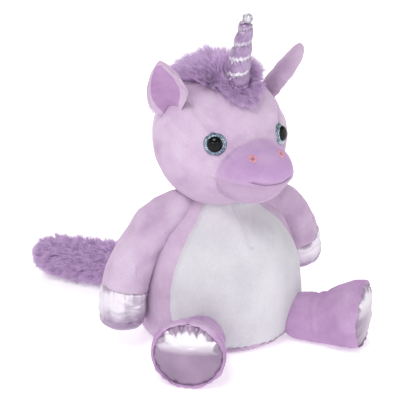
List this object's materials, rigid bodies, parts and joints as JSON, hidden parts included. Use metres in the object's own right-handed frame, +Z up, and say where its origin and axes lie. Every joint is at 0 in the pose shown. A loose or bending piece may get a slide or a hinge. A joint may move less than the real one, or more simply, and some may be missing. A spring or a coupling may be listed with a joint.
{
  "type": "plush unicorn",
  "caption": "Seated stuffed unicorn with a white belly panel, satin hooves and horn, and a long-pile mane and tail.",
  "frame": {"origin": "middle of the flat seat panel, on the floor", "axes": "+Z up; the toy faces -Y and its own right side is -X"},
  "size_m": [0.281, 0.3747, 0.3366],
  "materials": {
    "lilac_plush": "matte",
    "mauve_plush": "matte",
    "pale_lilac_plush": "matte",
    "white_plush": "matte",
    "pink_lilac_plush": "matte",
    "purple_fur": "matte",
    "lilac_satin": "satin",
    "polyester_fibre": "matte",
    "mauve_thread": "matte",
    "pink_thread": "matte",
    "silver_thread": "satin",
    "teal_glitter": "gloss",
    "black_plastic": "gloss",
    "white_plastic": "matte",
    "silver_satin": "satin"
  },
  "bodies": {
    "torso": {"torso_cover": "lilac_plush", "belly_panel": "white_plush", "seat_panel": "lilac_plush", "torso_stuffing": "polyester_fibre"},
    "neck": {"neck_stuffing": "polyester_fibre"},
    "head": {"head_cover": "lilac_plush", "head_stuffing": "polyester_fibre", "muzzle_cover": "mauve_plush", "chin_panel": "pale_lilac_plush", "mouth_stitch": "mauve_thread", "mane_crest": "purple_fur", "nostril_right": "pink_thread", "eye_iris_right": "teal_glitter", "eye_pupil_right": "black_plastic", "eye_washer_right": "white_plastic", "nostril_left": "pink_thread", "eye_iris_left": "teal_glitter", "eye_pupil_left": "black_plastic", "eye_washer_left": "white_plastic"},
    "horn": {"horn_cover": "lilac_satin", "horn_stuffing": "polyester_fibre", "horn_thread": "silver_thread", "horn_tip": "silver_satin"},
    "tail": {"tail_cover": "purple_fur", "tail_stuffing": "polyester_fibre"},
    "ear_right": {"ear_back_right": "lilac_plush", "ear_lining_right": "pink_lilac_plush"},
    "arm_right": {"arm_cover_right": "lilac_plush", "hoof_right": "lilac_satin", "arm_stuffing_right": "polyester_fibre"},
    "leg_right": {"leg_cover_right": "lilac_plush", "sole_right": "lilac_satin", "leg_stuffing_right": "polyester_fibre"},
    "ear_left": {"ear_back_left": "lilac_plush", "ear_lining_left": "pink_lilac_plush"},
    "arm_left": {"arm_cover_left": "lilac_plush", "hoof_left": "lilac_satin", "arm_stuffing_left": "polyester_fibre"},
    "leg_left": {"leg_cover_left": "lilac_plush", "sole_left": "lilac_satin", "leg_stuffing_left": "polyester_fibre"}
  },
  "joints": [
    {"name": "head_turn", "type": "hinge", "parent": "torso", "child": "neck", "pos_m": [0, 0, 0.1365], "axis": [0, 0, 1], "range_deg": [-25, 25], "stiffness_Nm_per_rad": 0.6},
    {"name": "head_nod", "type": "hinge", "parent": "neck", "child": "head", "pos_m": [0, 0, 0.1365], "axis": [1, 0, 0], "range_deg": [-10, 10], "stiffness_Nm_per_rad": 1.2},
    {"name": "tail_swing", "type": "hinge", "parent": "torso", "child": "tail", "pos_m": [0, 0.095, 0.046], "axis": [0, 0, 1], "range_deg": [-50, 14], "stiffness_Nm_per_rad": 0.12},
    {"name": "horn_bend", "type": "hinge", "parent": "head", "child": "horn", "pos_m": [0, -0.03314, 0.26618], "axis": [1, 0, 0], "range_deg": [-10, 10], "stiffness_Nm_per_rad": 0.05},
    {"name": "ear_right_fold", "type": "hinge", "parent": "head", "child": "ear_right", "pos_m": [-0.05366, -0.003, 0.24701], "axis": [0.3271, -0.8623, 0.3866], "range_deg": [-18, 18], "stiffness_Nm_per_rad": 0.03},
    {"name": "arm_right_swing", "type": "hinge", "parent": "torso", "child": "arm_right", "pos_m": [-0.07403, 0, 0.124], "axis": [-1, 0, 0], "range_deg": [-30, 30], "stiffness_Nm_per_rad": 0.2},
    {"name": "leg_right_lift", "type": "hinge", "parent": "torso", "child": "leg_right", "pos_m": [-0.06036, -0.06943, 0.0245], "axis": [-0.7547, 0.6561, 0], "range_deg": [0, 20], "stiffness_Nm_per_rad": 0.25},
    {"name": "ear_left_fold", "type": "hinge", "parent": "head", "child": "ear_left", "pos_m": [0.05366, -0.003, 0.24701], "axis": [0.3271, 0.8623, -0.3866], "range_deg": [-18, 18], "stiffness_Nm_per_rad": 0.03},
    {"name": "arm_left_swing", "type": "hinge", "parent": "torso", "child": "arm_left", "pos_m": [0.07403, 0, 0.124], "axis": [-1, 0, 0], "range_deg": [-30, 30], "stiffness_Nm_per_rad": 0.2},
    {"name": "leg_left_lift", "type": "hinge", "parent": "torso", "child": "leg_left", "pos_m": [0.06036, -0.06943, 0.0245], "axis": [-0.7547, -0.6561, 0], "range_deg": [0, 20], "stiffness_Nm_per_rad": 0.25}
  ]
}
